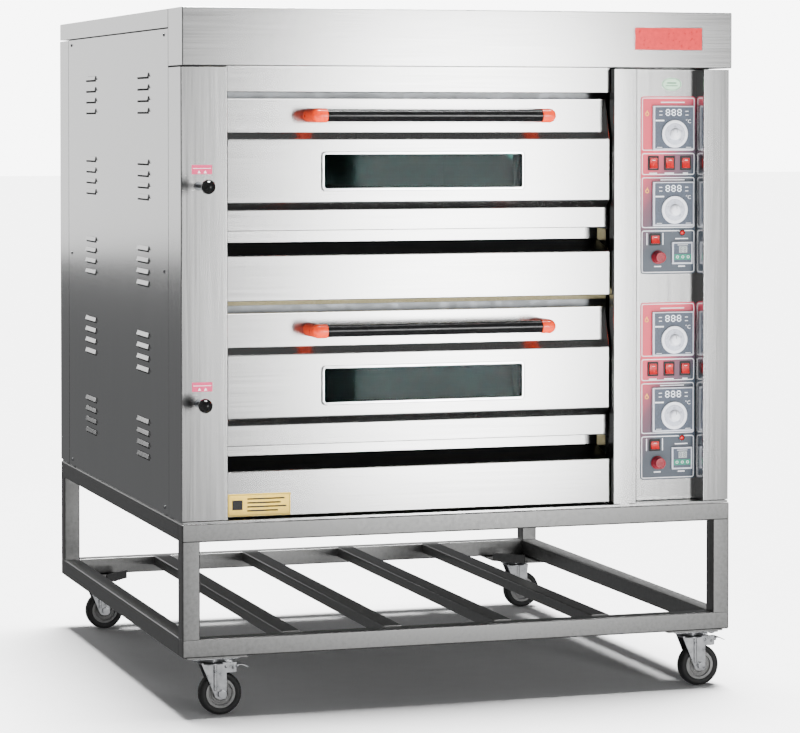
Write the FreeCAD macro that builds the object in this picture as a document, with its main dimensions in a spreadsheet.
import FreeCAD, Part
import math
import os
import re
import Sketcher
from FreeCAD import Placement, Rotation, Vector

# Two-deck bakery oven on a castor stand, in millimetres.
# The drawing frame has x across the width from the centre, y from the stand's front face into
# the oven and z up from the floor.  front_y moves it so that the origin is the middle of the
# finished oven's footprint.  Every size is a cell of the sheet "dims".

os.makedirs("parts", exist_ok=True)
doc = FreeCAD.newDocument("deck_oven")
sheet = doc.addObject("Spreadsheet::Sheet", "dims")

SIZES = [
    # overall
    ("width", 1220, "overall width of stand and casing"),
    ("depth", 1240, "depth of stand and casing"),
    ("height", 1464, "floor to top of the casing"),
    ("sheet_t", 1.5, "casing sheet"),
    ("fit_gap", 0.4, "clearance between separate bodies"),
    ("run_fit", 0.05, "radial clearance of a running fit"),
    # stand
    ("wheel_room", 37, "top of the wheels to underside of the lower rails"),
    ("stand_top", 403, "floor to top of the upper rails"),
    ("tube", 38, "square tube, outside"),
    ("tube_wall", 1.5, "square tube, wall"),
    ("slat_w", 38, "shelf slat width"),
    ("slat_drop", 22, "shelf slat flange depth"),
    ("slat_mid", -21, "middle of the four slats"),
    ("slat_near", 123, "inner slats from their middle"),
    ("slat_far", 346, "outer slats from their middle"),
    ("gusset_leg", 128, "corner gusset side"),
    ("gusset_cut", 62, "corner gusset bevel"),
    ("gusset_t", 4, "corner gusset plate"),
    ("gusset_in", 12, "gusset edge from the frame's face"),
    # castors
    ("pivot_x", 72, "swivel axis from the frame's side"),
    ("pivot_front", 46, "front swivel axes from the front"),
    ("pivot_rear", 70, "rear swivel axes from the back"),
    ("trail", 18, "axle behind the swivel axis"),
    ("wheel_r", 45, "wheel radius"),
    ("wheel_w", 28, "wheel width"),
    ("rim_r", 31, "wheel centre radius"),
    ("axle_r", 5, "axle bolt radius"),
    ("fork_t", 2.5, "fork cheek sheet"),
    ("fork_side", 3, "wheel to cheek"),
    ("crown_r", 29, "fork crown radius"),
    ("race_r", 25, "swivel race radius"),
    ("race_h", 9, "swivel race height"),
    ("plate_x", 100, "castor top plate, across"),
    ("plate_y", 78, "castor top plate, deep"),
    ("plate_t", 3, "castor top plate"),
    ("pedal_l", 34, "brake pedal reach past its pin"),
    ("brake_pin_r", 3, "brake pedal pin radius"),
    # casing
    ("pan_t", 4, "base pan height"),
    ("pan_in", 3, "base pan inside the stand's edge"),
    ("shell_gap", 1.5, "shadow gap over the base pan"),
    ("face_y", 6.5, "front face of the columns"),
    ("hood_out", 7.5, "hood proud of the stand"),
    ("hood_h", 120, "hood height"),
    ("hood_gap", 2.5, "gap under the hood"),
    ("return_l", 107, "side return of the columns and hood"),
    ("left_w", 99, "left column width"),
    ("strip_w", 54, "middle strip width"),
    ("recess_w", 154, "control recess width"),
    ("right_w", 60, "right column width"),
    ("recess_y", 48.6, "control fascia behind the stand's face"),
    ("post_l", 100, "rear corner post, along the side"),
    ("post_w", 14, "rear corner post, along the back"),
    ("outlet_w", 41, "rear service strip with the vent outlets"),
    ("cover_drop", 38.5, "top cover flange"),
    ("seam", 3, "gap between casing panels"),
    ("louvre_l", 112, "louvre length"),
    ("louvre_h", 9, "louvre height"),
    ("louvre_out", 4, "louvre pressed out by"),
    ("louvre_pitch", 25, "louvre spacing"),
    ("group_pitch", 185.6, "louvre group spacing"),
    ("group_top", 1334, "top louvre"),
    ("louvre_near", 346.5, "front row of louvres"),
    ("louvre_back", 881, "rear row of louvres"),
    ("screw_r", 4, "panel screw head radius"),
    ("screw_out", 2.2, "panel screw head height"),
    # decks
    ("door_low", 1002, "underside of the upper door"),
    ("deck_pitch", 446.5, "deck spacing"),
    ("door_h", 274.7, "door height"),
    ("door_gap", 3.5, "gap beside the door"),
    ("door_t", 1.2, "door sheet"),
    ("strip_low_y", 38.5, "face of the door's lower strip"),
    ("strip_low_h", 43.6, "height of the door's lower strip"),
    ("belly_y", 22.9, "face of the door's middle panel"),
    ("belly_low", 59, "bottom of the middle panel"),
    ("belly_high", 190.4, "top of the middle panel"),
    ("strip_top_y", 51.4, "face of the door's upper strip"),
    ("strip_top_z", 203.7, "bottom of the upper strip"),
    ("skin_back", 60, "rear edge of the door's outer skin"),
    ("liner_back", 95, "rear face of the door"),
    ("window_x", 4, "window centre from the door's centre"),
    ("window_z", 123.7, "window centre above the door's foot"),
    ("window_w", 437.5, "visible glass width"),
    ("window_h", 69.5, "visible glass height"),
    ("bezel_w", 6.5, "window frame width"),
    ("bezel_out", 3, "window frame proud of the door"),
    ("glass_t", 4, "window pane"),
    ("glass_bite", 5, "glass held behind the frame"),
    ("hinge_y", 66, "door hinge axis"),
    ("hinge_z", 10, "door hinge axis above the door's foot"),
    ("pin_r", 5, "door hinge pin radius"),
    ("bracket_t", 4, "hinge bracket plate"),
    ("handle_x", 15.5, "handle centre from the door's centre"),
    ("handle_span", 507, "between the handle posts"),
    ("handle_z", 240, "handle above the door's foot"),
    ("handle_y", 17.4, "handle axis in front of the stand"),
    ("handle_r", 14.5, "handle bar radius"),
    ("post_r", 15, "handle post radius"),
    ("frame_y", 99, "oven mouth frame"),
    ("frame_low", 4, "mouth frame's foot above the door's"),
    ("frame_high", 289, "mouth frame's head above the door's foot"),
    ("sill_front", 50.7, "sill's front edge below the door's foot"),
    ("sill_back", 27, "sill's rear edge below the door's foot"),
    ("fascia_foot", 144.8, "lower fascia's foot below the door's"),
    ("fascia_top_y", 28.4, "upper fascia's face"),
    ("fascia_top_z", 288.6, "upper fascia's foot above the door's"),
    # chambers
    ("chamber_w", 820, "chamber width"),
    ("chamber_h", 236, "chamber height"),
    ("rear_room", 88, "room behind the insulation"),
    ("chamber_z", 22, "chamber floor above the door's foot"),
    ("hearth_lift", 40, "hearth underside above the floor"),
    ("hearth_t", 10, "hearth plate"),
    ("ledge", 15, "hearth ledge section"),
    ("heater_r", 4.25, "heating element radius"),
    ("heater_count", 5, "heating elements at each level"),
    ("heater_low", 20, "lower elements above the floor"),
    ("heater_high", 222, "upper elements above the floor"),
    ("heater_tail", 30, "element terminals in the control bay"),
    ("bulk_left_out", 35, "left bulkhead outside the oven mouth"),
    ("bulk_right_out", 18.5, "right bulkhead outside the oven mouth"),
    ("wool_t", 50, "insulation above, below and behind"),
    # steam vent
    ("vent_in", 37.5, "pull rod from the casing's left side"),
    ("vent_z", 95, "pull rod above the door's foot"),
    ("knob_r", 15, "ball knob radius"),
    ("knob_out_top", 76, "upper knob's centre in front"),
    ("knob_out_low", 48.6, "lower knob's centre in front"),
    ("rod_r", 4, "pull rod radius"),
    ("rod_end", 200, "pull rod's inner end behind the upper knob's place"),
    ("blade_l", 64, "damper blade length"),
    ("blade_h", 48, "damper blade height"),
    ("duct_w", 52, "vent duct width"),
    ("duct_h", 60, "vent duct height"),
    ("duct_front", 112, "vent duct's front end"),
    # controls
    ("print_w", 128, "printed control plate width"),
    ("print_low", 103, "control plate's foot below the door's"),
    ("print_high", 281.7, "control plate's head above the door's foot"),
    ("print_t", 1, "printed control plate"),
    ("ctl_w", 96, "temperature controller bezel"),
    ("ctl_out", 8, "controller bezel depth"),
    ("ctl_body", 91, "controller case behind the fascia"),
    ("ctl_deep", 70, "controller case depth"),
    ("ctl_in", 114.8, "controllers' centre line from the casing's right side"),
    ("ctl_top", 213.4, "upper controller above the door's foot"),
    ("ctl_low", 48.9, "lower controller above the door's foot"),
    ("dial_dx", 1, "dial right of the controller's centre"),
    ("dial_dz", 13, "dial below the controller's centre"),
    ("dial_r", 30, "dial radius"),
    ("dial_t", 3, "dial disc"),
    ("cap_r", 12.5, "dial knob radius"),
    ("cap_t", 11, "dial knob height"),
    ("shaft_r", 3, "dial shaft radius"),
    ("rocker_z", 137.3, "rocker row above the door's foot"),
    ("rocker_in", 160.2, "first rocker from the casing's right side"),
    ("rocker_pitch", 37.8, "rocker spacing"),
    ("rocker_w", 25, "rocker bezel width"),
    ("rocker_h", 31, "rocker bezel height"),
    ("power_in", 155.7, "power switch centre from the casing's right side"),
    ("power_drop", 28.1, "power switch below the door's foot"),
    ("power_w", 26, "power switch bezel"),
    ("lamp_in", 93.1, "signal lamp centre from the casing's right side"),
    ("lamp_drop", 13.6, "signal lamp below the door's foot"),
    ("lamp_r", 7, "signal lamp radius"),
    ("buzz_in", 149.2, "buzzer centre from the casing's right side"),
    ("buzz_drop", 66.4, "buzzer below the door's foot"),
    ("buzz_r", 14.5, "buzzer radius"),
    ("buzz_out", 21, "buzzer proud of the plate"),
    ("timer_in", 93, "timer centre from the casing's right side"),
    ("timer_drop", 58, "timer below the door's foot"),
    ("timer_w", 48, "timer bezel"),
    # rear
    ("gland_x", 470, "mains gland from the centre"),
    ("gland_z", 480, "mains gland above the floor"),
    ("gland_r", 16, "mains gland radius"),
    ("gland_bore", 9, "mains gland bore radius"),
    ("gland_out", 22, "mains gland behind the rear panel"),
]
# Sizes that follow from the ones above.
TIED = [
    ("rail_low", "=2 * wheel_r + wheel_room", "floor to underside of the lower rails"),
    ("chamber_d", "=depth - frame_y - 2 * sheet_t - wool_t - rear_room", "chamber depth"),
    ("mouth_w", "=width - left_w - right_w - recess_w - strip_w", "oven mouth between the covers"),
    ("wool_left", "=(mouth_w - chamber_w) / 2 - sheet_t + bulk_left_out", "insulation, left side"),
    ("wool_right", "=(mouth_w - chamber_w) / 2 - sheet_t + bulk_right_out", "insulation, right side"),
    ("vent_x", "=width / 2 - vent_in", "pull rod from the centre"),
    ("ctl_x", "=width / 2 - ctl_in", "controllers' centre line"),
    ("rocker_x", "=width / 2 - rocker_in", "first rocker"),
    ("power_x", "=width / 2 - power_in", "power switch centre"),
    ("lamp_x", "=width / 2 - lamp_in", "signal lamp centre"),
    ("buzz_x", "=width / 2 - buzz_in", "buzzer centre"),
    ("timer_x", "=width / 2 - timer_in", "timer centre"),
]
ALIASES = set()
for row, (alias, size, note) in enumerate(SIZES + TIED, start=1):
    sheet.set(f"A{row}", alias)
    sheet.set(f"B{row}", str(size))
    sheet.set(f"C{row}", note)
    sheet.setAlias(f"B{row}", alias)
    ALIASES.add(alias)
doc.recompute()

FRONT_Y = "(knob_out_top + knob_r - depth - gland_out) / 2"
SHELL_Z = "(stand_top + pan_t + shell_gap)"
HOOD_Z = "(height - hood_h)"
FACE_TOP = "(height - hood_h - hood_gap)"
OPEN_LEFT = "(left_w - width / 2)"
OPEN_RIGHT = "(width / 2 - right_w - recess_w - strip_w)"
RECESS_LEFT = "(width / 2 - right_w - recess_w)"
RECESS_RIGHT = "(width / 2 - right_w)"
DOOR_MID = f"(({OPEN_LEFT} + {OPEN_RIGHT}) / 2)"
DOOR_W = f"({OPEN_RIGHT} - {OPEN_LEFT} - 2 * door_gap)"
PLATE_Y = "(recess_y - print_t)"


def bound(text):
    """The expression with every sheet name written as a reference to the sheet."""
    return re.sub(r"[a-z_]+", lambda m: "dims." + m[0] if m[0] in ALIASES else m[0], text)


def size_of(text):
    """The expression's present value."""
    return float(sheet.evalExpression(text))


def bind(item, name, text):
    item.setExpression(name, bound(text))


def place(item, at):
    """Bind an object's place; at is in the drawing frame."""
    bind(item, "Placement.Base.x", at[0])
    bind(item, "Placement.Base.y", f"{at[1]} + {FRONT_Y}")
    bind(item, "Placement.Base.z", at[2])
    return item


def box(name, size, at):
    """A box from its low corner."""
    item = doc.addObject("Part::Box", name)
    for key, text in zip(("Length", "Width", "Height"), size):
        bind(item, key, text)
    return place(item, at)


TURNS = {
    "x": Rotation(Vector(0, 1, 0), 90),
    "y": Rotation(Vector(1, 0, 0), -90),
    "z": Rotation(),
}


def rod(name, radius, length, at, axis="y"):
    """A round bar that starts at a point and runs along +axis."""
    item = doc.addObject("Part::Cylinder", name)
    item.Placement = Placement(Vector(), TURNS[axis])
    bind(item, "Radius", radius)
    bind(item, "Height", length)
    return place(item, at)


def ball(name, radius, at):
    item = doc.addObject("Part::Sphere", name)
    bind(item, "Radius", radius)
    return place(item, at)


def fuse(name, shapes):
    item = doc.addObject("Part::MultiFuse", name)
    item.Shapes = shapes
    item.Refine = True
    return item


def cut(name, base, tools):
    """The base with the tools taken out of it."""
    item = doc.addObject("Part::Cut", name)
    item.Base = base
    item.Tool = tools[0] if len(tools) == 1 else group(name + "_tools", tools)
    item.Refine = True
    return item


def group(name, shapes):
    """Separate solids kept together."""
    item = doc.addObject("Part::Compound", name)
    item.Links = shapes
    return item


def hull_bar(name, size, wall, at, axis):
    """A hollow square tube along one axis."""
    inner = [f"{s} - 2 * {wall}" for s in size]
    start = [f"{p} + {wall}" for p in at]
    inner[axis] = f"{size[axis]} + 2"
    start[axis] = f"{at[axis]} - 1"
    return cut(name, box(name + "_outer", size, at), [box(name + "_bore", inner, start)])


def outline(body, name, role, points):
    """A closed outline on one of the body's own planes, each corner bound to the sheet."""
    plane = [o for o in body.Origin.OriginFeatures if o.Role == role][0]
    sketch = body.newObject("Sketcher::SketchObject", name)
    sketch.AttachmentSupport = [(plane, "")]
    sketch.MapMode = "FlatFace"
    spots = [Vector(size_of(u), size_of(v), 0) for u, v in points]
    count = len(spots)
    for i in range(count):
        sketch.addGeometry(Part.LineSegment(spots[i], spots[(i + 1) % count]))
    for i in range(count):
        sketch.addConstraint(Sketcher.Constraint("Coincident", i, 2, (i + 1) % count, 1))
    for i, (u, v) in enumerate(points):
        for way, text, start in (("DistanceX", u, spots[i].x), ("DistanceY", v, spots[i].y)):
            rule = sketch.addConstraint(Sketcher.Constraint(way, -1, 1, i, 1, start))
            label = f"{way[-1].lower()}{i}"
            sketch.renameConstraint(rule, label)
            bind(sketch, f"Constraints.{label}", text)
    return sketch


def pad(name, role, points, length, at, both=False):
    """A body padded from an outline, along the plane's normal or both ways from it."""
    body = doc.addObject("PartDesign::Body", name)
    place(body, at)
    sketch = outline(body, name + "_outline", role, points)
    feature = body.newObject("PartDesign::Pad", name + "_pad")
    feature.Profile = sketch
    if both:
        feature.SideType = "Symmetric"
    bind(feature, "Length", length)
    body.Tip = feature
    return body


def turned(name, points, at, turn=None):
    """A body turned about its own z axis from half an outline (radius, height)."""
    body = doc.addObject("PartDesign::Body", name)
    if turn:
        body.Placement = Placement(Vector(), turn)
    place(body, at)
    sketch = outline(body, name + "_outline", "XZ_Plane", points)
    feature = body.newObject("PartDesign::Revolution", name + "_turn")
    feature.Profile = sketch
    feature.ReferenceAxis = (sketch, ["V_Axis"])
    feature.Angle = 360
    body.Tip = feature
    return body


DECKS = {"1": "(door_low)", "2": "(door_low - deck_pitch)"}
NODES = []


def node(item, label=None):
    """Name a finished sub-part; its name is its file's name."""
    item.Label = label or item.Name
    NODES.append(item)
    return item


# ---------------------------------------------------------------- stand
# Twelve square tubes welded into one frame.
tubes = []
INNER_X = "(width - 2 * tube)"
INNER_Y = "(depth - 2 * tube)"
for level, low in (("low", "rail_low"), ("top", "(stand_top - tube)")):
    for side, y in (("front", "0"), ("rear", "(depth - tube)")):
        tubes.append(hull_bar(f"rail_{level}_{side}", ("width", "tube", "tube"), "tube_wall",
                              ("-width / 2", y, low), 0))
    for side, x in (("left", "-width / 2"), ("right", "(width / 2 - tube)")):
        tubes.append(hull_bar(f"rail_{level}_{side}", ("tube", INNER_Y, "tube"), "tube_wall",
                              (x, "tube", low), 1))
for side_y, y in (("front", "0"), ("rear", "(depth - tube)")):
    for side_x, x in (("left", "-width / 2"), ("right", "(width / 2 - tube)")):
        tubes.append(hull_bar(f"post_{side_y}_{side_x}",
                              ("tube", "tube", "stand_top - rail_low - 2 * tube"), "tube_wall",
                              (x, y, "rail_low + tube"), 2))
node(group("stand_frame", tubes))

# Shelf slats: folded channels, open below, level with the lower rails.
slats = []
for index, offset in enumerate(("-slat_far", "-slat_near", "slat_near", "slat_far")):
    half = "slat_w / 2"
    inner = "(slat_w / 2 - tube_wall)"
    section = [
        (f"-{half}", "-slat_drop"), (f"-{inner}", "-slat_drop"), (f"-{inner}", "-tube_wall"),
        (inner, "-tube_wall"), (inner, "-slat_drop"), (half, "-slat_drop"),
        (half, "0"), (f"-{half}", "0"),
    ]
    slats.append(pad(f"slat_{index}", "XZ_Plane", section, INNER_Y,
                     (f"slat_mid + {offset}", "(depth - tube)", "rail_low + tube")))
node(group("shelf_slats", slats))

# ---------------------------------------------------------------- castors
# Corner gusset under the rails, then the castor's top plate with the fixed half of its race.
CASTORS = {
    "fl": ("-(width / 2 - pivot_x)", "pivot_front", -1, -1),
    "fr": ("(width / 2 - pivot_x)", "pivot_front", 1, -1),
    "rl": ("-(width / 2 - pivot_x)", "(depth - pivot_rear)", -1, 1),
    "rr": ("(width / 2 - pivot_x)", "(depth - pivot_rear)", 1, 1),
}
PLATE_Z = "(rail_low - gusset_t - plate_t)"
RACE_Z = f"({PLATE_Z} - race_h)"
mounts = []
for key, (px, py, sx, sy) in CASTORS.items():
    corner = ("(width / 2 - gusset_in)", "gusset_in" if sy < 0 else "(depth - gusset_in)")
    reach = "gusset_leg" if sy < 0 else "(gusset_leg + pivot_rear - pivot_front)"
    leg_x = f"({-sx} * gusset_leg)"
    leg_y = f"({-sy} * {reach})"
    bevel = [
        ("0", "0"), (leg_x, "0"), (leg_x, f"{leg_y} + {sy} * gusset_cut"),
        (f"{leg_x} + {sx} * gusset_cut", leg_y), ("0", leg_y),
    ]
    mounts.append(pad(f"gusset_{key}", "XY_Plane", bevel, "gusset_t",
                      (f"{sx} * {corner[0]}", corner[1], "rail_low - gusset_t")))
    plate = box(f"castor_plate_{key}", ("plate_x", "plate_y", "plate_t"),
                (f"{px} - plate_x / 2", f"{py} - plate_y / 2", PLATE_Z))
    race = rod(f"race_{key}", "race_r", "race_h - fit_gap", (px, py, f"{RACE_Z} + fit_gap"), "z")
    mounts.append(fuse(f"castor_head_{key}", [plate, race]))
node(group("castor_mounts", mounts))

# Swivel fork: crown, two cheeks leaning back to the axle, axle bolt with its head and nut.
# The wheel trails towards +x.
CHEEK_IN = "(wheel_w / 2 + fork_side)"
CROWN_Z = f"({RACE_Z} - fork_t)"
BRAKE_Z = f"({CROWN_Z} - 20)"
for key, (px, py, sx, sy) in CASTORS.items():
    braked = sy < 0
    parts = [rod(f"crown_{key}", "crown_r", "fork_t", (px, py, CROWN_Z), "z")]
    profile = [("-crown_r + 4", CROWN_Z), ("trail - 14", "wheel_r - 6"), ("trail - 5", "wheel_r - 11"),
               ("trail + 5", "wheel_r - 11"), ("trail + 11", "wheel_r - 4"), ("trail + 11", BRAKE_Z)]
    if braked:
        profile += [("trail + 32", BRAKE_Z), ("trail + 32", f"{CROWN_Z} + fork_t")]
    else:
        profile += [("trail + 14", f"{CROWN_Z} + fork_t")]
    profile += [("-crown_r + 4", f"{CROWN_Z} + fork_t")]
    for side, y in (("near", f"-{CHEEK_IN}"), ("far", f"{CHEEK_IN} + fork_t")):
        cheek = pad(f"cheek_{side}_{key}", "XZ_Plane", profile, "fork_t", (px, f"{py} + {y}", "0"))
        if braked:
            hole = rod(f"pin_hole_{side}_{key}", "brake_pin_r + run_fit", "fork_t + 2",
                       (f"{px} + trail + 24", f"{py} + {y} - fork_t - 1", f"{CROWN_Z} - 10"))
            cheek = cut(f"cheek_cut_{side}_{key}", cheek, [hole])
        parts.append(cheek)
    bridge = box(f"bridge_{key}", ("crown_r + trail + 8", f"2 * {CHEEK_IN} + 2 * fork_t", "fork_t"),
                 (f"{px} - crown_r + 4", f"{py} - {CHEEK_IN} - fork_t", CROWN_Z))
    parts.append(bridge)
    axle_hole = rod(f"axle_hole_{key}", "axle_r", f"2 * {CHEEK_IN} + 2 * fork_t + 2",
                    (f"{px} + trail", f"{py} - {CHEEK_IN} - fork_t - 1", "wheel_r"))
    fork = cut(f"fork_shell_{key}", fuse(f"fork_bent_{key}", parts), [axle_hole])
    bolt = fuse(f"axle_bolt_{key}", [
        rod(f"axle_{key}", "axle_r", f"2 * {CHEEK_IN} + 2 * fork_t",
            (f"{px} + trail", f"{py} - {CHEEK_IN} - fork_t", "wheel_r")),
        rod(f"axle_head_{key}", "axle_r + 3.5", "5.5",
            (f"{px} + trail", f"{py} - {CHEEK_IN} - fork_t - 5.5", "wheel_r")),
        rod(f"axle_nut_{key}", "axle_r + 3.5", "6",
            (f"{px} + trail", f"{py} + {CHEEK_IN} + fork_t", "wheel_r")),
    ])
    node(group(f"castor_fork_{key}", [fork, bolt]))

    # Wheel: a ribbed centre turned with its hub, and a rubber tyre round it.
    along = Rotation(Vector(1, 0, 0), -90)
    centre = [
        ("axle_r + run_fit", "-wheel_w / 2 - fork_side + 0.5"), ("axle_r + 6", "-wheel_w / 2 - fork_side + 0.5"),
        ("axle_r + 6", "-4"), ("rim_r - 5", "-4"), ("rim_r - 5", "-wheel_w / 2 + 3"),
        ("rim_r", "-wheel_w / 2 + 3"), ("rim_r", "wheel_w / 2 - 3"), ("rim_r - 5", "wheel_w / 2 - 3"),
        ("rim_r - 5", "4"), ("axle_r + 6", "4"), ("axle_r + 6", "wheel_w / 2 + fork_side - 0.5"),
        ("axle_r + run_fit", "wheel_w / 2 + fork_side - 0.5"),
    ]
    tyre = [
        ("rim_r", "-wheel_w / 2 + 2"), ("rim_r + 4", "-wheel_w / 2"), ("wheel_r - 4", "-wheel_w / 2"),
        ("wheel_r", "-wheel_w / 2 + 4"), ("wheel_r", "wheel_w / 2 - 4"), ("wheel_r - 4", "wheel_w / 2"),
        ("rim_r + 4", "wheel_w / 2"), ("rim_r", "wheel_w / 2 - 2"),
    ]
    at = (f"{px} + trail", py, "wheel_r")
    node(group(f"castor_wheel_{key}", [turned(f"wheel_centre_{key}", centre, at, along),
                                       turned(f"tyre_{key}", tyre, at, along)]))

    # Brake pedal: a bent plate between the cheeks on a cross pin, its tread beyond them.
    if braked:
        pin_x = f"({px} + trail + 24)"
        pin_z = f"({CROWN_Z} - 10)"
        tread = [("-6", "4.5"), ("pedal_l - 12", "4.5"), ("pedal_l", "-1"), ("pedal_l", "1.5"),
                 ("pedal_l - 12", "7"), ("-6", "7")]
        lever = pad(f"pedal_tread_{key}", "XZ_Plane", tread, f"2 * ({CHEEK_IN} - 1)",
                    (pin_x, py, pin_z), both=True)
        boss = rod(f"pedal_boss_{key}", "5.5", f"2 * ({CHEEK_IN} - 1)",
                   (pin_x, f"{py} - {CHEEK_IN} + 1", pin_z))
        pin = rod(f"pedal_pin_{key}", "brake_pin_r", f"2 * {CHEEK_IN} + 2 * fork_t + 3",
                  (pin_x, f"{py} - {CHEEK_IN} - fork_t - 1.5", pin_z))
        node(fuse(f"brake_pedal_{key}", [lever, boss, pin]))

# ---------------------------------------------------------------- casing
# Base pan; small spacer pads on it carry the casing panels clear of it.
SIDE_FRONT = "(face_y + return_l + seam)"
SIDE_REAR = "(depth - post_l - seam)"
SIDE_TOP = "(height - cover_drop - seam)"
pan = [box("pan_sheet", ("width - 2 * pan_in", "depth - 2 * pan_in", "pan_t"),
           ("pan_in - width / 2", "pan_in", "stand_top"))]
for side, x in (("left", "pan_in - width / 2 - sheet_t"), ("right", "width / 2 - pan_in - 2")):
    for spot, y in (("front", "face_y + return_l - 20"), ("near", f"{SIDE_FRONT} + 30"),
                    ("far", f"{SIDE_REAR} - 50"), ("rear", "depth - post_l + 20")):
        pan.append(box(f"pad_{side}_{spot}", ("3.5", "20", "pan_t + shell_gap"), (x, y, "stand_top")))
for spot, x in (("left", "-width / 4"), ("right", "width / 4")):
    pan.append(box(f"pad_{spot}_rear", ("20", "pan_in + 2", "pan_t + shell_gap"),
                   (x, "depth - pan_in - 2", "stand_top")))
pan.append(box("pad_strip", ("20", "10", "pan_t + shell_gap"), (f"{OPEN_RIGHT} + 17", "face_y", "stand_top")))
node(fuse("base_pan", pan))

# Side panels with rows of louvres: four to a group, five groups, two rows.
panels = []
for side, sign in (("left", -1), ("right", 1)):
    low_x = "-width / 2" if sign < 0 else "(width / 2 - sheet_t)"
    sheet_panel = box(f"side_sheet_{side}",
                      ("sheet_t", f"{SIDE_REAR} - {SIDE_FRONT}", f"{SIDE_TOP} - {SHELL_Z}"),
                      (low_x, SIDE_FRONT, SHELL_Z))
    hoods, slots = [], []
    for row_name, row_y in (("near", "louvre_near"), ("back", "louvre_back")):
        for block in range(5):
            for rung in range(4):
                tag = f"{side}_{row_name}_{block}{rung}"
                z = f"(group_top - {block} * group_pitch - {rung} * louvre_pitch)"
                wedge = [("0", "0"), (f"{sign} * louvre_out", "0"), ("0", "louvre_h")]
                hoods.append(pad("louvre_" + tag, "XZ_Plane", wedge, "louvre_l",
                                 (f"{sign} * width / 2", f"{row_y} + louvre_l / 2",
                                  f"{z} - louvre_h")))
                slots.append(box("slot_" + tag, ("sheet_t + louvre_out - 1", "louvre_l - 4", "louvre_h * 0.6"),
                                 (f"{sign} * (width / 2 + louvre_out / 2 - 1.25) - (sheet_t + louvre_out - 1) / 2",
                                  f"{row_y} - louvre_l / 2 + 2", f"{z} - louvre_h - 3")))
    panels.append(cut(f"side_panel_{side}", fuse(f"side_pressed_{side}", [sheet_panel] + hoods), slots))
node(group("side_panels", panels))

# Rear panel between two folded corner posts, with the vent ducts' outlets.
posts = []
for side, x, turn in (("left", "-width / 2", 1), ("right", "width / 2", -1)):
    fold = [("0", "0"), (f"{turn} * sheet_t", "0"), (f"{turn} * sheet_t", "post_l - sheet_t"),
            (f"{turn} * post_w", "post_l - sheet_t"), (f"{turn} * post_w", "post_l"), ("0", "post_l")]
    posts.append(pad(f"corner_post_{side}", "XY_Plane", fold, f"{SIDE_TOP} - {SHELL_Z}",
                     (x, "(depth - post_l)", SHELL_Z)))
STRIP_X = "(post_w + seam - width / 2)"
rear_sheet = box("rear_sheet", ("width - 2 * post_w - 2 * seam - outlet_w", "sheet_t", f"{SIDE_TOP} - {SHELL_Z}"),
                 (f"{STRIP_X} + outlet_w", "(depth - sheet_t)", SHELL_Z))
rear_panel = cut("rear_panel", rear_sheet,
                 [rod("gland_hole", "gland_bore + 3", "sheet_t + 2", ("gland_x", "depth - sheet_t - 1", "gland_z"))])
DUCT_REAR = "(depth - sheet_t - 2)"
# The service strip behind the ducts is in three lengths, which leave the two outlets open.
strips, foot = [], SHELL_Z
for deck in ("2", "1"):
    outlet = f"({DECKS[deck]} + vent_z - duct_h / 2 + 4)"
    strips.append(box(f"rear_strip_under_{deck}", ("outlet_w", "sheet_t", f"{outlet} - {foot}"),
                      (STRIP_X, "(depth - sheet_t)", foot)))
    foot = f"({outlet} + duct_h - 8)"
strips.append(box("rear_strip_top", ("outlet_w", "sheet_t", f"{SIDE_TOP} - {foot}"), (STRIP_X, "(depth - sheet_t)", foot)))
node(group("rear_casing", posts + [rear_panel] + strips))

# Top cover and hood.
cover_y = "(face_y + return_l + seam)"
cover_l = f"(depth - {cover_y})"
cover = box("cover_sheet", ("width", cover_l, "cover_drop"), ("-width / 2", cover_y, "height - cover_drop"))
cover_in = box("cover_inside", ("width - 2 * sheet_t", f"{cover_l} - sheet_t", "cover_drop"),
               ("sheet_t - width / 2", f"{cover_y} - 0.5", "height - cover_drop - sheet_t"))
node(cut("top_cover", cover, [cover_in]))
hood_box = box("hood_sheet", ("width", "hood_out + face_y + return_l", "hood_h"),
               ("-width / 2", "-hood_out", HOOD_Z))
hood_in = box("hood_inside", ("width - 2 * sheet_t", "hood_out + face_y + return_l", "hood_h - 2 * sheet_t"),
              ("sheet_t - width / 2", "sheet_t - hood_out", f"{HOOD_Z} + sheet_t"))
hood_floor = box("hood_floor", ("width - 2 * sheet_t", "return_l", "2 * sheet_t"),
                 ("sheet_t - width / 2", "40 - hood_out", f"{HOOD_Z} - sheet_t / 2"))
node(cut("hood", hood_box, [hood_in, hood_floor]))

# Columns and middle strip: folded covers standing in front of the decks.
FACE_H = f"({FACE_TOP} - {SHELL_Z})"
RIB = "(recess_y - face_y)"
left_fold = [("0", "return_l"), ("0", "0"), ("left_w", "0"), ("left_w", "32"), ("left_w - sheet_t", "32"),
             ("left_w - sheet_t", "sheet_t"), ("sheet_t", "sheet_t"), ("sheet_t", "return_l")]
strip_fold = [("0", "24"), ("0", "0"), ("strip_w", "0"), ("strip_w", RIB), ("strip_w - sheet_t", RIB),
              ("strip_w - sheet_t", "sheet_t"), ("sheet_t", "sheet_t"), ("sheet_t", "24")]
right_fold = [("0", RIB), ("0", "0"), ("right_w", "0"), ("right_w", "return_l"),
              ("right_w - sheet_t", "return_l"), ("right_w - sheet_t", "sheet_t"),
              ("sheet_t", "sheet_t"), ("sheet_t", RIB)]
left_column = pad("left_column", "XY_Plane", left_fold, FACE_H, ("-width / 2", "face_y", SHELL_Z))
bush_holes = [rod(f"bush_hole_{deck}", "rod_r + 2.5", "sheet_t + 2",
                  ("-vent_x", "face_y - 1", f"{low} + vent_z")) for deck, low in DECKS.items()]
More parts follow.
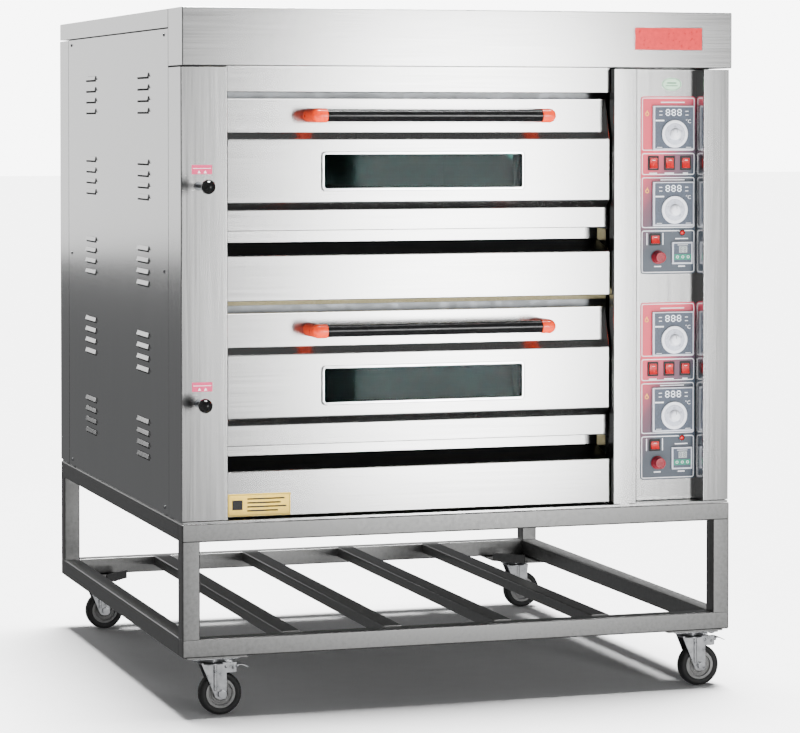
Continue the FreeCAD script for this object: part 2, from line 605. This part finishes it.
node(group("front_columns", [
    cut("left_column_pierced", left_column, bush_holes),
    pad("middle_strip", "XY_Plane", strip_fold, FACE_H, (OPEN_RIGHT, "face_y", SHELL_Z)),
    pad("right_column", "XY_Plane", right_fold, FACE_H, (RECESS_RIGHT, "face_y", SHELL_Z)),
]))

# Fascias: a plain one under the hood, and under each door a sill folded into the lower one.
fascias = []
upper_foot = "(door_low + fascia_top_z)"
upper_fold = [("0", "0"), ("sheet_t", "0"), ("sheet_t", f"{HOOD_Z} - {upper_foot}"),
              ("0", f"{HOOD_Z} - {upper_foot}")]
fascia_w = f"({DOOR_W} + 2)"
fascias.append(fuse("upper_fascia", [
    pad("upper_fascia_face", "YZ_Plane", upper_fold, fascia_w, (DOOR_MID, "fascia_top_y", upper_foot), both=True),
    box("upper_fascia_lip", (fascia_w, "frame_y - fascia_top_y", "sheet_t"),
        (f"{DOOR_MID} - {fascia_w} / 2", "fascia_top_y", upper_foot)),
]))
for deck, low in DECKS.items():
    rise = "(frame_y - belly_y)"
    fold = [
        ("0", "0"), ("16", "0"), ("16", "sheet_t"), ("sheet_t", "sheet_t"),
        ("sheet_t", "fascia_foot - sill_front - sheet_t"),
        (f"{rise} - sheet_t", "fascia_foot - sill_back - sheet_t"),
        (f"{rise} - sheet_t", "fascia_foot + frame_low + 8"), (rise, "fascia_foot + frame_low + 8"),
        (rise, "fascia_foot - sill_back"), ("0", "fascia_foot - sill_front"),
    ]
    fascias.append(pad(f"lower_fascia_{deck}", "YZ_Plane", fold, fascia_w,
                       (DOOR_MID, "belly_y", f"{low} - fascia_foot"), both=True))
node(group("front_fascias", fascias))

# ---------------------------------------------------------------- inside the casing
# Two bulkheads carry the mouth frames; the mouth frames carry the chambers.
BULK_LEFT = f"({DOOR_MID} - chamber_w / 2 - sheet_t - wool_left)"
BULK_RIGHT = f"({DOOR_MID} + chamber_w / 2 + sheet_t + wool_right)"
BULK_H = f"(height - sheet_t - stand_top - pan_t)"
CHAMBER_Y = "(frame_y + sheet_t)"
BULK_L = "(chamber_d + sheet_t + wool_t + 20)"
left_bulk = box("left_bulkhead", ("sheet_t", BULK_L, BULK_H),
                (f"{BULK_LEFT} - sheet_t", CHAMBER_Y, "stand_top + pan_t"))
right_bulk = box("right_bulkhead", ("sheet_t", BULK_L, BULK_H), (BULK_RIGHT, CHAMBER_Y, "stand_top + pan_t"))
HEAT_STEP = "(chamber_d / (heater_count + 0))"
left_ports, right_ports = [], []
for deck, low in DECKS.items():
    left_ports.append(box(f"vent_port_{deck}", ("sheet_t + 2", "blade_l - 20", "blade_h - 12"),
                          (f"{BULK_LEFT} - sheet_t - 1", "duct_front + 30",
                           f"{low} + vent_z - blade_h / 2 + 6")))
    for level in ("heater_low", "heater_high"):
        for index in range(int(size_of("heater_count"))):
            right_ports.append(rod(f"heater_port_{deck}_{level[7:]}_{index}", "heater_r + 2", "sheet_t + 2",
                                   (f"{BULK_RIGHT} - 1", f"{CHAMBER_Y} + {HEAT_STEP} * {index + 0.5}",
                                    f"{low} + chamber_z + {level}"), "x"))
node(group("bulkheads", [cut("bulkhead_left", left_bulk, left_ports),
                         cut("bulkhead_right", right_bulk, right_ports)]))

MOUTH_LEFT = f"({DOOR_MID} - chamber_w / 2)"
frames, liners, hearths, heaters, wool, fittings = [], [], [], [], [], []
for deck, low in DECKS.items():
    full = f"({BULK_RIGHT} - {BULK_LEFT} + 2 * sheet_t)"
    left = f"({BULK_LEFT} - sheet_t)"
    floor = f"({low} + chamber_z)"
    roof = f"({low} + chamber_z + chamber_h)"
    frames += [
        box(f"mouth_foot_{deck}", (full, "sheet_t", "chamber_z - frame_low"), (left, "frame_y", f"{low} + frame_low")),
        box(f"mouth_head_{deck}", (full, "sheet_t", "frame_high - chamber_z - chamber_h"), (left, "frame_y", roof)),
        box(f"mouth_left_{deck}", (f"{MOUTH_LEFT} - {left}", "sheet_t", "chamber_h"), (left, "frame_y", floor)),
        box(f"mouth_right_{deck}", (f"{left} + {full} - {MOUTH_LEFT} - chamber_w", "sheet_t", "chamber_h"),
            (f"{MOUTH_LEFT} + chamber_w", "frame_y", floor)),
    ]
    # Hinge brackets beside the door, bored for its pins.
    for side, x in (("left", f"{OPEN_LEFT} - bracket_t - 0.5"), ("right", f"{OPEN_RIGHT} + 0.5")):
        ear = box(f"bracket_plate_{side}_{deck}", ("bracket_t", "frame_y - hinge_y + 16", "30"),
                  (x, "hinge_y - 16", f"{low} - 4"))
        bore = rod(f"bracket_bore_{side}_{deck}", "pin_r + run_fit", "bracket_t + 2",
                   (f"{x} - 1", "hinge_y", f"{low} + hinge_z"), "x")
        frames.append(cut(f"hinge_bracket_{side}_{deck}", ear, [bore]))
    # Chamber liner: floor, roof, two sides and back, with a ledge each side for the hearth.
    wall_l = "chamber_d"
    right_wall = box(f"liner_wall_right_{deck}", ("sheet_t", wall_l, "chamber_h"),
                     (f"{MOUTH_LEFT} + chamber_w", CHAMBER_Y, floor))
    ports = []
    for level in ("heater_low", "heater_high"):
        for index in range(int(size_of("heater_count"))):
            y = f"({CHAMBER_Y} + {HEAT_STEP} * {index + 0.5})"
            tag = f"{deck}_{level[7:]}_{index}"
            ports.append(rod(f"liner_port_{tag}", "heater_r + 0.3", "sheet_t + 2",
                             (f"{MOUTH_LEFT} + chamber_w - 1", y, f"{floor} + {level}"), "x"))
            heaters.append(rod(f"heater_{tag}", "heater_r",
                               "chamber_w + sheet_t + wool_right + sheet_t + heater_tail",
                               (MOUTH_LEFT, y, f"{floor} + {level}"), "x"))
    left_wall = box(f"liner_wall_left_{deck}", ("sheet_t", wall_l, "chamber_h"),
                    (f"{MOUTH_LEFT} - sheet_t", CHAMBER_Y, floor))
    port = box(f"liner_vent_{deck}", ("sheet_t + 2", "blade_l - 20", "blade_h - 12"),
               (f"{MOUTH_LEFT} - sheet_t - 1", "duct_front + 30", f"{low} + vent_z - blade_h / 2 + 6"))
    liners += [
        box(f"liner_floor_{deck}", ("chamber_w + 2 * sheet_t", wall_l, "sheet_t"),
            (f"{MOUTH_LEFT} - sheet_t", CHAMBER_Y, f"{floor} - sheet_t")),
        box(f"liner_roof_{deck}", ("chamber_w + 2 * sheet_t", wall_l, "sheet_t"),
            (f"{MOUTH_LEFT} - sheet_t", CHAMBER_Y, roof)),
        box(f"liner_back_{deck}", ("chamber_w + 2 * sheet_t", "sheet_t", "chamber_h + 2 * sheet_t"),
            (f"{MOUTH_LEFT} - sheet_t", f"{CHAMBER_Y} + chamber_d", f"{floor} - sheet_t")),
        cut(f"liner_left_{deck}", left_wall, [port]),
        cut(f"liner_right_{deck}", right_wall, ports),
        box(f"ledge_left_{deck}", ("ledge", "chamber_d", "ledge"),
            (MOUTH_LEFT, CHAMBER_Y, f"{floor} + hearth_lift - ledge")),
        box(f"ledge_right_{deck}", ("ledge", "chamber_d", "ledge"),
            (f"{MOUTH_LEFT} + chamber_w - ledge", CHAMBER_Y, f"{floor} + hearth_lift - ledge")),
    ]
    ledge_z = f"{floor} + hearth_lift"
    hearths.append(box(f"hearth_{deck}", ("chamber_w - 6", "chamber_d - 10", "hearth_t"),
                       (f"{MOUTH_LEFT} + 3", f"{CHAMBER_Y} + 6", ledge_z)))
    # Insulation round the chamber.
    # The left side is four slabs, laid round the way to the vent duct.
    way_y, way_end = "(duct_front + 30)", "(duct_front + 10 + blade_l)"
    way_z = f"({low} + vent_z - blade_h / 2 + 6)"
    way_top = f"({way_z} + blade_h - 12)"
    left_slabs = [
        box(f"wool_left_front_{deck}", ("wool_left", f"{way_y} - {CHAMBER_Y}", "chamber_h"), (BULK_LEFT, CHAMBER_Y, floor)),
        box(f"wool_left_rear_{deck}", ("wool_left", f"{CHAMBER_Y} + chamber_d - {way_end}", "chamber_h"),
            (BULK_LEFT, way_end, floor)),
        box(f"wool_left_low_{deck}", ("wool_left", "blade_l - 20", f"{way_z} - {floor}"), (BULK_LEFT, way_y, floor)),
        box(f"wool_left_high_{deck}", ("wool_left", "blade_l - 20", f"{floor} + chamber_h - {way_top}"),
            (BULK_LEFT, way_y, way_top)),
    ]
    clear = [rod(f"wool_port_{deck}_{level[7:]}_{index}", "heater_r + 1", "wool_right + 2",
                 (f"{BULK_RIGHT} - wool_right - 1", f"{CHAMBER_Y} + {HEAT_STEP} * {index + 0.5}",
                  f"{floor} + {level}"), "x")
             for level in ("heater_low", "heater_high") for index in range(int(size_of("heater_count")))]
    right_slab = box(f"wool_slab_right_{deck}", ("wool_right", "chamber_d", "chamber_h"),
                     (f"{BULK_RIGHT} - wool_right", CHAMBER_Y, floor))
    span = f"({BULK_RIGHT} - {BULK_LEFT})"
    wool += left_slabs + [
        cut(f"wool_right_{deck}", right_slab, clear),
        box(f"wool_under_{deck}", (span, "chamber_d", "wool_t"), (BULK_LEFT, CHAMBER_Y, f"{floor} - sheet_t - wool_t")),
        box(f"wool_over_{deck}", (span, "chamber_d", "wool_t"), (BULK_LEFT, CHAMBER_Y, f"{roof} + sheet_t")),
        box(f"wool_behind_{deck}", (span, "wool_t", "chamber_h + 2 * sheet_t"),
            (BULK_LEFT, f"{CHAMBER_Y} + chamber_d + sheet_t", f"{floor} - sheet_t")),
    ]
    # Chamber lamp on the right wall, and a sensor probe near the roof and near the hearth.
    fittings.append(rod(f"chamber_lamp_{deck}", "22", "16",
                        (f"{MOUTH_LEFT} + chamber_w - 16", f"{CHAMBER_Y} + chamber_d * 0.4 + 70",
                         f"{floor} + chamber_h / 2 + 24"), "x"))
    for tag, z in (("over", "chamber_h - 30"), ("under", "heater_low")):
        fittings.append(rod(f"probe_{tag}_{deck}", "2.5", "120",
                            (f"{MOUTH_LEFT} + chamber_w - 120", f"{CHAMBER_Y} + chamber_d * 0.6 + 40",
                             f"{floor} + {z}"), "x"))
node(group("mouth_frames", frames))
node(group("chamber_liners", liners))
node(group("hearth_plates", hearths))
node(group("heating_elements", heaters))
node(group("insulation", wool))
node(group("chamber_fittings", fittings))

# Steam vents: a duct down the left side of each deck, its blade on the pull rod's end.
ducts = []
for deck, low in DECKS.items():
    duct_l = f"({DUCT_REAR} - duct_front)"
    duct_low = f"({low} + vent_z - duct_h / 2)"
    duct_x = f"({BULK_LEFT} - sheet_t - duct_w)"
    outer = box(f"duct_outer_{deck}", ("duct_w", duct_l, "duct_h"), (duct_x, "duct_front", duct_low))
    inner = box(f"duct_inner_{deck}", ("duct_w - 3", duct_l, "duct_h - 3"),
                (f"{duct_x} + 1.5", "duct_front + 1.5", f"{duct_low} + 1.5"))
    entry = rod(f"duct_entry_{deck}", "rod_r + 1", "4", ("-vent_x", "duct_front - 1", f"{low} + vent_z"))
    inlet = box(f"duct_inlet_{deck}", ("4", "blade_l - 20", "blade_h - 12"),
                (f"{BULK_LEFT} - sheet_t - 3", "duct_front + 30", f"{low} + vent_z - blade_h / 2 + 6"))
    ducts.append(cut(f"vent_duct_{deck}", outer, [inner, entry, inlet]))
    sleeve = rod(f"bush_sleeve_{deck}", "rod_r + 2.5", "16", ("-vent_x", "face_y", f"{low} + vent_z"))
    flange = rod(f"bush_flange_{deck}", "rod_r + 5", "2", ("-vent_x", "face_y - 2", f"{low} + vent_z"))
    bore = rod(f"bush_bore_{deck}", "rod_r + run_fit", "24", ("-vent_x", "face_y - 4", f"{low} + vent_z"))
    ducts.append(cut(f"rod_bush_{deck}", fuse(f"bush_blank_{deck}", [sleeve, flange]), [bore]))
node(group("vent_ducts", ducts))

for deck, low in DECKS.items():
    knob_y = "-knob_out_top" if deck == "1" else "-knob_out_low"
    z = f"({low} + vent_z)"
    pull = rod(f"pull_{deck}", "rod_r", "rod_end + 20", ("-vent_x", f"{knob_y} + knob_r - 4", z))
    blade_x = f"({BULK_LEFT} - sheet_t - 1.5 - 3)"
    blade = box(f"blade_{deck}", ("2", "blade_l", "blade_h"),
                (blade_x, f"{knob_y} + knob_r - 4 + rod_end + 20 - 3", f"{z} - blade_h / 2"))
    arm = box(f"blade_arm_{deck}", (f"{blade_x} + vent_x + 2", "3", "14"),
              ("-vent_x", f"{knob_y} + knob_r - 4 + rod_end + 20 - 3", f"{z} - 7"))
    knob = cut(f"knob_{deck}", ball(f"knob_ball_{deck}", "knob_r", ("-vent_x", knob_y, z)),
               [rod(f"knob_bore_{deck}", "rod_r", "knob_r + 2", ("-vent_x", f"{knob_y} + knob_r - 4", z))])
    node(group(f"vent_rod_{deck}", [fuse(f"rod_and_blade_{deck}", [pull, blade, arm]), knob]))

# ---------------------------------------------------------------- doors
for deck, low in DECKS.items():
    fold = [
        ("skin_back", "0"), ("strip_low_y", "0"), ("strip_low_y", "strip_low_h"), ("belly_y", "belly_low"),
        ("belly_y", "belly_high"), ("strip_top_y", "strip_top_z"), ("strip_top_y", "door_h"),
        ("skin_back + 8", "door_h"), ("skin_back + 8", "door_h - door_t"),
        ("strip_top_y + door_t", "door_h - door_t"), ("strip_top_y + door_t", "strip_top_z - door_t"),
        ("belly_y + door_t", "belly_high - door_t"), ("belly_y + door_t", "belly_low + door_t"),
        ("strip_low_y + door_t", "strip_low_h + door_t"), ("strip_low_y + door_t", "door_t"),
        ("skin_back", "door_t"),
    ]
    cheek = fold[:7] + [("skin_back", "door_h")]
    at = (DOOR_MID, "0", low)
    skin = pad(f"skin_fold_{deck}", "YZ_Plane", fold, DOOR_W, at, both=True)
    ends = [pad(f"skin_end_{side}_{deck}", "YZ_Plane", cheek, "door_t",
                (f"{DOOR_MID} {place_x}", "0", low))
            for side, place_x in (("left", f"- {DOOR_W} / 2"), ("right", f"+ {DOOR_W} / 2 - door_t"))]
    win_x = f"({DOOR_MID} + window_x)"
    win_z = f"({low} + window_z)"
    cut_w = "(window_w + 2 * glass_bite)"
    cut_h = "(window_h + 2 * glass_bite)"
    window_cut = box(f"skin_window_{deck}", (cut_w, "40", cut_h),
                     (f"{win_x} - {cut_w} / 2", "belly_y - 10", f"{win_z} - {cut_h} / 2"))
    node(cut(f"door_skin_{deck}", fuse(f"skin_folded_{deck}", [skin] + ends), [window_cut]))

    # Door liner: a pan facing the chamber, with the window's tunnel and the two hinge pins.
    pan_w = f"({DOOR_W} - 4 * door_t)"
    pan_front = "(skin_back + 8.5)"
    pan = box(f"liner_pan_{deck}", (pan_w, f"liner_back - {pan_front}", "door_h - 4"),
              (f"{DOOR_MID} - {pan_w} / 2", pan_front, f"{low} + 2"))
    pan_in = box(f"liner_hollow_{deck}", (f"{pan_w} - 2 * door_t", f"liner_back - {pan_front}", "door_h - 4 - 2 * door_t"),
                 (f"{DOOR_MID} - {pan_w} / 2 + door_t", f"{pan_front} - door_t", f"{low} + 2 + door_t"))
    tube_out = box(f"tunnel_out_{deck}", (f"{cut_w} + 4", f"liner_back - {pan_front}", f"{cut_h} + 4"),
                   (f"{win_x} - {cut_w} / 2 - 2", pan_front, f"{win_z} - {cut_h} / 2 - 2"))
    tube_in = box(f"tunnel_in_{deck}", (f"{cut_w}", "60", f"{cut_h}"),
                  (f"{win_x} - {cut_w} / 2", "skin_back", f"{win_z} - {cut_h} / 2"))
    spine = box(f"liner_spine_{deck}", (pan_w, f"{pan_front} - skin_back + 14", "16"),
                (f"{DOOR_MID} - {pan_w} / 2", "skin_back + 0.4", f"{low} + 2"))
    hollowed = cut(f"liner_shell_{deck}", pan, [pan_in])
    shell = cut(f"liner_glazed_{deck}", fuse(f"liner_built_{deck}", [hollowed, tube_out, spine]), [tube_in])
    pins = []
    reach = "(2 * door_t + door_gap + 0.5 + bracket_t)"
    for side, x in (("left", f"({DOOR_MID} - {pan_w} / 2 - {reach})"), ("right", f"({DOOR_MID} + {pan_w} / 2)")):
        pins.append(rod(f"hinge_pin_{side}_{deck}", "pin_r", reach, (x, "hinge_y", f"{low} + hinge_z"), "x"))
    node(group(f"door_liner_{deck}", [shell] + pins))

    # Window: bright frame over the edge of the opening, and two panes.
    out_w = "(window_w + 2 * bezel_w)"
    out_h = "(window_h + 2 * bezel_w)"
    rim = box(f"bezel_rim_{deck}", (out_w, "bezel_out", out_h),
              (f"{win_x} - {out_w} / 2", "belly_y - bezel_out", f"{win_z} - {out_h} / 2"))
    lip = box(f"bezel_lip_{deck}", (f"{cut_w} - 0.6", "18", f"{cut_h} - 0.6"),
              (f"{win_x} - {cut_w} / 2 + 0.3", "belly_y - 0.5", f"{win_z} - {cut_h} / 2 + 0.3"))
    sight = box(f"bezel_sight_{deck}", ("window_w", "40", "window_h"),
                (f"{win_x} - window_w / 2", "belly_y - 10", f"{win_z} - window_h / 2"))
    pocket = box(f"bezel_pocket_{deck}", ("window_w + 2 * glass_bite - 3", "glass_t", "window_h + 2 * glass_bite - 3"),
                 (f"{win_x} - {cut_w} / 2 + 1.5", "belly_y + 1", f"{win_z} - {cut_h} / 2 + 1.5"))
    node(cut(f"window_frame_{deck}", fuse(f"bezel_built_{deck}", [rim, lip]), [sight, pocket]))
    front_pane = box(f"pane_front_{deck}", ("window_w + 2 * glass_bite - 3.4", "glass_t - 0.4", "window_h + 2 * glass_bite - 3.4"),
                     (f"{win_x} - {cut_w} / 2 + 1.7", "belly_y + 1.2", f"{win_z} - {cut_h} / 2 + 1.7"))
    rear_pane = box(f"pane_rear_{deck}", (f"{cut_w}", "glass_t", cut_h),
                    (f"{win_x} - {cut_w} / 2", "liner_back - glass_t - 2", f"{win_z} - {cut_h} / 2"))
    node(group(f"window_glass_{deck}", [front_pane, rear_pane]))

    # Handle: a bar between two round-nosed posts.
    x0 = f"({DOOR_MID} + handle_x - handle_span / 2)"
    x1 = f"({DOOR_MID} + handle_x + handle_span / 2)"
    z = f"({low} + handle_z)"
    nosed = []
    for side, x in (("left", x0), ("right", x1)):
        stem = rod(f"handle_stem_{side}_{deck}", "post_r", "strip_top_y + handle_y", (x, "-handle_y", z))
        nose = ball(f"handle_nose_{side}_{deck}", "post_r", (x, "-handle_y", z))
        seat = rod(f"handle_seat_{side}_{deck}", "handle_r", "2 * post_r", (f"{x} - {'0' if side == 'left' else '2 * post_r'}", "-handle_y", z), "x")
        nosed.append(cut(f"handle_post_{side}_{deck}", fuse(f"handle_peg_{side}_{deck}", [stem, nose]), [seat]))
    bar = rod(f"handle_bar_{deck}", "handle_r", "handle_span", (x0, "-handle_y", z), "x")
    node(group(f"door_handle_{deck}", nosed + [bar]))

# ---------------------------------------------------------------- controls
# One sunk fascia behind both decks' printed plates, pierced alike.
piercings, print_cuts, instruments, cases, signals, prints = [], [], [], [], [], []
BEHIND = "(recess_y + sheet_t)"


def pierce(name, width, height, x, z):
    """A square opening through the printed plate and the fascia."""
    return box(name, (width, "30", height), (f"{x} - {width} / 2", f"{PLATE_Y} - 10", f"{z} - {height} / 2"))


def square_case(name, bezel, out, case, deep, x, z):
    """A square instrument: bezel on the plate, case through it."""
    return fuse(name, [
        box(name + "_bezel", (bezel, out, bezel), (f"{x} - {bezel} / 2", f"{PLATE_Y} - {out}", f"{z} - {bezel} / 2")),
        box(name + "_case", (case, deep, case), (f"{x} - {case} / 2", PLATE_Y, f"{z} - {case} / 2")),
    ])


for deck, low in DECKS.items():
    for level, rise in (("top", "ctl_top"), ("low", "ctl_low")):
        z = f"({low} + {rise})"
        piercings.append(pierce(f"ctl_hole_{level}_{deck}", "(ctl_body + 1)", "(ctl_body + 1)", "ctl_x", z))
        case = square_case(f"controller_{level}_{deck}", "ctl_w", "ctl_out", "ctl_body", "ctl_deep", "ctl_x", z)
        dial_at = (f"ctl_x + dial_dx", f"{PLATE_Y} - ctl_out", f"{z} - dial_dz")
        socket = rod(f"dial_socket_{level}_{deck}", "shaft_r + run_fit", "24", (dial_at[0], f"{dial_at[1]} - 2", dial_at[2]))
        instruments.append(cut(f"controller_bored_{level}_{deck}", case, [socket]))
        face = "(-dial_t - 0.6)"
        knob_line = [
            ("0", "18"), ("shaft_r", "18"), ("shaft_r", "-0.6"), ("dial_r", "-0.6"), ("dial_r", f"{face} + 1"),
            ("dial_r - 1", face), ("cap_r", face), ("cap_r - 1", f"{face} - cap_t + 4"),
            ("cap_r - 5", f"{face} - cap_t"), ("0", f"{face} - cap_t"),
        ]
        node(turned(f"dial_{level}_{deck}", knob_line, dial_at, Rotation(Vector(1, 0, 0), -90)))
    z = f"({low} - timer_drop)"
    piercings.append(pierce(f"timer_hole_{deck}", "(timer_w - 3)", "(timer_w - 3)", "timer_x", z))
    instruments.append(square_case(f"timer_{deck}", "timer_w", "6", "(timer_w - 4)", "60", "timer_x", z))

    # Rockers: a case with an open pocket, the paddle turning on a level axis inside it.
    switches = [(f"rocker_{i}", f"(rocker_x + {i} * rocker_pitch)", f"({low} + rocker_z)", "rocker_w", "rocker_h")
                for i in range(3)]
    switches.append(("power_rocker", "power_x", f"({low} - power_drop)", "power_w", "power_w"))
    for name, x, z, wide, tall in switches:
        tag = f"{name}_{deck}"
        in_w, in_h = f"({wide} - 7)", f"({tall} - 7)"
        piercings.append(pierce(f"hole_{tag}", f"({wide} - 4)", f"({tall} - 4)", x, z))
        bezel = box(f"bezel_{tag}", (wide, "2", tall), (f"{x} - {wide} / 2", f"{PLATE_Y} - 2", f"{z} - {tall} / 2"))
        body = box(f"body_{tag}", (f"{wide} - 5", "24", f"{tall} - 5"),
                   (f"{x} - ({wide} - 5) / 2", PLATE_Y, f"{z} - ({tall} - 5) / 2"))
        well = box(f"well_{tag}", (in_w, "16", in_h), (f"{x} - {in_w} / 2", f"{PLATE_Y} - 3", f"{z} - {in_h} / 2"))
        cases.append(cut(f"case_{tag}", fuse(f"blank_{tag}", [bezel, body]), [well]))
        half = f"({in_h} / 2 - 1.2)"
        paddle = [("-4.5", f"-{half}"), ("-6.5", f"-{half}"), ("-3.2", "0"), ("-4.2", half), ("4.5", half),
                  ("6", "0"), ("4.5", f"-{half}")]
        node(pad(f"{tag}", "YZ_Plane", paddle, f"{in_w} - 0.8", (x, PLATE_Y, z), both=True))

    # Signal lamp and buzzer.
    for name, x, drop, radius, out, neck in (("lamp", "lamp_x", "lamp_drop", "lamp_r", "5", "5.5"),
                                             ("buzzer", "buzz_x", "buzz_drop", "buzz_r", "buzz_out", "10.5")):
        z = f"({low} - {drop})"
        head = rod(f"{name}_head_{deck}", radius, out, (x, f"{PLATE_Y} - {out}", z))
        stem = rod(f"{name}_stem_{deck}", neck, "28", (x, PLATE_Y, z))
        signals.append(fuse(f"{name}_{deck}", [head, stem]))
        piercings.append(rod(f"{name}_hole_{deck}", f"{neck} + 0.5", "30", (x, f"{PLATE_Y} - 10", z)))
    prints.append((f"control_print_{deck}", low))

fascia_blank = box("fascia_blank", ("recess_w", "sheet_t", FACE_H), (RECESS_LEFT, "recess_y", SHELL_Z))
all_holes = group("control_holes", piercings)
plates = []
for name, low in prints:
    blank = box(name + "_blank", ("print_w", "print_t", "print_low + print_high"),
                (f"{RECESS_RIGHT} - 1 - print_w", PLATE_Y, f"{low} - print_low"))
    plates.append(cut(name, blank, [all_holes]))
node(cut("control_fascia", fascia_blank, [all_holes]))
node(group("control_plates", plates))
node(group("panel_instruments", instruments))
node(group("rocker_cases", cases))
node(group("signal_lamps_buzzers", signals))

# Switchgear on the control bay's bulkhead: four contactors and a terminal block.
gear = []
for index in range(4):
    gear.append(box(f"contactor_{index}", ("80", "45", "75"),
                    (f"{BULK_RIGHT} + sheet_t", f"{CHAMBER_Y} + chamber_d * 0.75 + {index} * 52", "stand_top + 90")))
gear.append(box("terminal_block", ("42", "200", "32"),
                (f"{BULK_RIGHT} + sheet_t", f"{CHAMBER_Y} + chamber_d * 0.75", "stand_top + 40")))
node(group("switchgear", gear))

# Mains gland through the rear panel.
gland = fuse("gland_built", [
    rod("gland_thread", "gland_bore + 3", "sheet_t + 14", ("gland_x", "depth - sheet_t - 14", "gland_z")),
    rod("gland_nut", "gland_r", "gland_out", ("gland_x", "depth", "gland_z")),
    rod("gland_ring", "gland_r", "5", ("gland_x", "depth - sheet_t - 5", "gland_z")),
])
node(cut("mains_gland", gland, [rod("gland_hollow", "gland_bore", "gland_out + 30",
                                    ("gland_x", "depth - 20", "gland_z"))]))

# Pan-head screws round each side panel.
screws = []
for side, sign in (("left", -1), ("right", 1)):
    for column, y in (("a", f"{SIDE_FRONT} + 36"), ("b", f"{SIDE_REAR} - 36")):
        for index in range(3):
            z = f"({SIDE_TOP} - 12 - {index} * ({SIDE_TOP} - {SHELL_Z} - 24) / 2)"
            x = f"-width / 2 - screw_out" if sign < 0 else "width / 2"
            screws.append(rod(f"screw_{side}_{column}{index}", "screw_r", "screw_out", (x, y, z), "x"))
node(group("panel_screws", screws))

# ---------------------------------------------------------------- check and write
doc.recompute()
for item in doc.Objects:
    if "Invalid" in item.State or "Error" in item.State:
        raise RuntimeError(f"{item.Name} did not rebuild: {item.State}")
labels = [item.Label for item in NODES]
if len(set(labels)) != len(labels) or len(labels) > 60:
    raise RuntimeError(f"{len(labels)} sub-parts, {len(set(labels))} names")
for item in NODES:
    shape = item.Shape
    if shape.isNull() or not shape.isValid() or not shape.Solids:
        raise RuntimeError(f"{item.Label} has no valid solid")
    shape.exportStep(f"parts/{item.Label}.step")
print(len(NODES), "sub-parts written")
